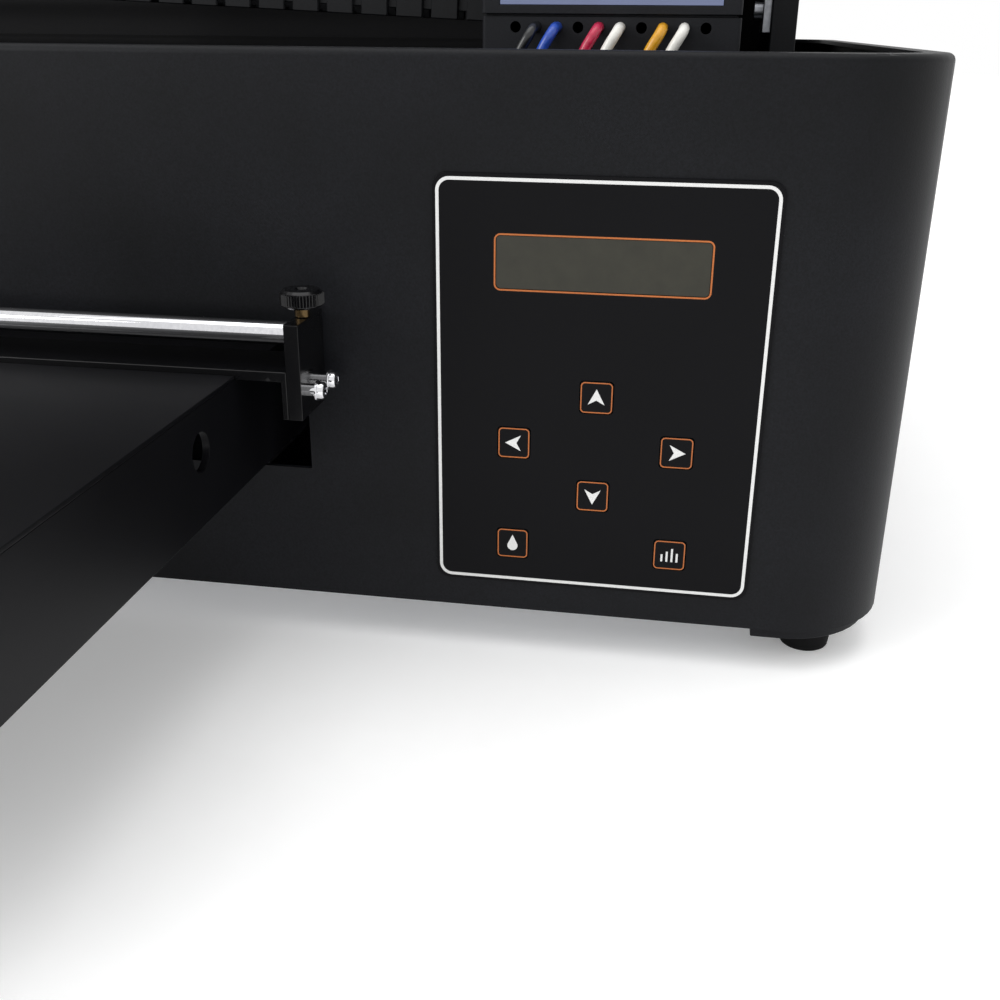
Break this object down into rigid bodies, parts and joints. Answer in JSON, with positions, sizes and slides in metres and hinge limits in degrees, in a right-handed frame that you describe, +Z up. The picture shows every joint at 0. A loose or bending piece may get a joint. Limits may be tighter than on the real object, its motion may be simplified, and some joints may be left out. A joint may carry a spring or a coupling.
{
  "type": "flatbed uv printer",
  "caption": "Desktop flatbed UV printer: rounded steel tub, sliding bed with a media clamp bar, keypad panel with a small display, and a gantry with an ink carriage under a rear hood.",
  "frame": {"origin": "on the supporting surface, under the middle of the machine with the bed in", "axes": "+Z up, -Y to the front where the bed comes out, +X to the side with the keypad"},
  "size_m": [0.65, 0.672, 0.4],
  "materials": {
    "powder_black": "fine textured powder coat, satin black",
    "bed_black": "smooth black enamel",
    "anodised_black": "black anodised",
    "panel_film": "satin printed film",
    "key_film": "satin printed film",
    "lcd_glass": "dark glossy display window",
    "circuit_board": "solder mask",
    "chrome": "polished",
    "bright_steel": "ground",
    "zinc": "zinc plated",
    "aluminium": "clear anodised",
    "motor_black": "satin",
    "rubber_black": "matte",
    "cover_grey": "fine grained ABS",
    "screen": "backlit blue display",
    "chain_nylon": "moulded nylon",
    "ink_tube": "soft tube",
    "ink_tank": "translucent polyethylene",
    "brass": "turned"
  },
  "bodies": {
    "chassis": {"base_pan": "zinc", "beam_bolts": "bright_steel", "bed_motor": "motor_black", "bed_rails": "bright_steel", "cap_seal": "rubber_black", "capping_station": "cover_grey", "carriage_motor": "motor_black", "carriage_rail": "motor_black", "casing": "powder_black", "chain_guide": "anodised_black", "control_board": "circuit_board", "corner_pads": "powder_black", "drive_belt": "rubber_black", "feet": "rubber_black", "gantry_beam": "motor_black", "gantry_plate_left": "powder_black", "gantry_plate_right": "powder_black", "home_stop": "zinc", "hood": "powder_black", "ink_tanks": "ink_tank", "lcd_module": "circuit_board", "lcd_window": "lcd_glass", "main_board": "circuit_board", "mains_inlet": "cover_grey", "panel_overlay": "panel_film", "power_supply": "zinc", "rail_supports": "aluminium", "switch_frame": "cover_grey", "tank_caps": "rubber_black"},
    "bed": {"bed_tray": "bed_black", "bed_top_plate": "bed_black", "bed_bearings": "aluminium", "bed_nut": "brass", "clamp_plate": "anodised_black", "clamp_bracket_left": "anodised_black", "clamp_bracket_right": "anodised_black", "clamp_screws": "chrome"},
    "clamp": {"clamp_bar": "chrome"},
    "thumb_left": {"thumb_screw_left": "anodised_black"},
    "thumb_right": {"thumb_screw_right": "anodised_black"},
    "lead_screw": {"bed_screw": "bright_steel"},
    "pulley": {"drive_pulley": "aluminium"},
    "idler": {"idler_pulley": "aluminium"},
    "carriage": {"carriage_cover": "cover_grey", "display_housing": "cover_grey", "display_screen": "screen", "carriage_plate": "zinc", "print_head": "motor_black", "uv_lamp": "anodised_black", "ink_manifold": "cover_grey", "ink_tubes": "ink_tube", "chain_run": "chain_nylon"},
    "chain": {"chain_bend": "chain_nylon"},
    "rocker": {"switch_rocker": "cover_grey"},
    "key_up": {"key_up": "key_film"},
    "key_left": {"key_left": "key_film"},
    "key_right": {"key_right": "key_film"},
    "key_down": {"key_down": "key_film"},
    "key_clean": {"key_clean": "key_film"},
    "key_test": {"key_test": "key_film"}
  },
  "joints": [
    {"name": "bed_slide", "type": "slide", "parent": "chassis", "child": "bed", "axis": [0, -1, 0], "range_m": [0, 0.29]},
    {"name": "lead_screw_turn", "type": "hinge", "parent": "chassis", "child": "lead_screw", "pos_m": [0, -0.006, 0.05], "axis": [0, 1, 0], "range_deg": [-10, 13060]},
    {"name": "carriage_slide", "type": "slide", "parent": "chassis", "child": "carriage", "axis": [1, 0, 0], "range_m": [-0.33, 0.004], "deforming": ["chain_run"]},
    {"name": "chain_follow", "type": "slide", "parent": "chassis", "child": "chain", "axis": [1, 0, 0], "range_m": [-0.1651, 0.0021]},
    {"name": "pulley_turn", "type": "hinge", "parent": "chassis", "child": "pulley", "pos_m": [-0.24, 0.093, 0.222], "axis": [0, 1, 0], "range_deg": [-30, 2165]},
    {"name": "idler_turn", "type": "hinge", "parent": "chassis", "child": "idler", "pos_m": [0.24, 0.093, 0.222], "axis": [0, 1, 0], "range_deg": [-30, 2165]},
    {"name": "clamp_lift", "type": "slide", "parent": "bed", "child": "clamp", "axis": [0, 0, 1], "range_m": [-0.005, 0]},
    {"name": "thumb_left_turn", "type": "hinge", "parent": "bed", "child": "thumb_left", "pos_m": [-0.1185, -0.122, 0.13], "axis": [0, 0, 1], "range_deg": [0, 720]},
    {"name": "thumb_right_turn", "type": "hinge", "parent": "bed", "child": "thumb_right", "pos_m": [0.1185, -0.122, 0.13], "axis": [0, 0, 1], "range_deg": [0, 720]},
    {"name": "rocker_tilt", "type": "hinge", "parent": "chassis", "child": "rocker", "pos_m": [-0.22, 0.3315, 0.062], "axis": [0, 0, 1], "range_deg": [-12, 0]},
    {"name": "key_up_press", "type": "slide", "parent": "chassis", "child": "key_up", "axis": [0, 1, 0], "range_m": [0, 0.0005], "stiffness_N_per_m": 600},
    {"name": "key_left_press", "type": "slide", "parent": "chassis", "child": "key_left", "axis": [0, 1, 0], "range_m": [0, 0.0005], "stiffness_N_per_m": 600},
    {"name": "key_right_press", "type": "slide", "parent": "chassis", "child": "key_right", "axis": [0, 1, 0], "range_m": [0, 0.0005], "stiffness_N_per_m": 600},
    {"name": "key_down_press", "type": "slide", "parent": "chassis", "child": "key_down", "axis": [0, 1, 0], "range_m": [0, 0.0005], "stiffness_N_per_m": 600},
    {"name": "key_clean_press", "type": "slide", "parent": "chassis", "child": "key_clean", "axis": [0, 1, 0], "range_m": [0, 0.0005], "stiffness_N_per_m": 600},
    {"name": "key_test_press", "type": "slide", "parent": "chassis", "child": "key_test", "axis": [0, 1, 0], "range_m": [0, 0.0005], "stiffness_N_per_m": 600}
  ],
  "couplings": [
    {"joint": "lead_screw_turn", "follows": "bed_slide", "rad_per_m": 785.4},
    {"joint": "chain_follow", "follows": "carriage_slide", "ratio": 0.5},
    {"joint": "pulley_turn", "follows": "carriage_slide", "rad_per_m": -114.29},
    {"joint": "idler_turn", "follows": "carriage_slide", "rad_per_m": -114.29}
  ]
}
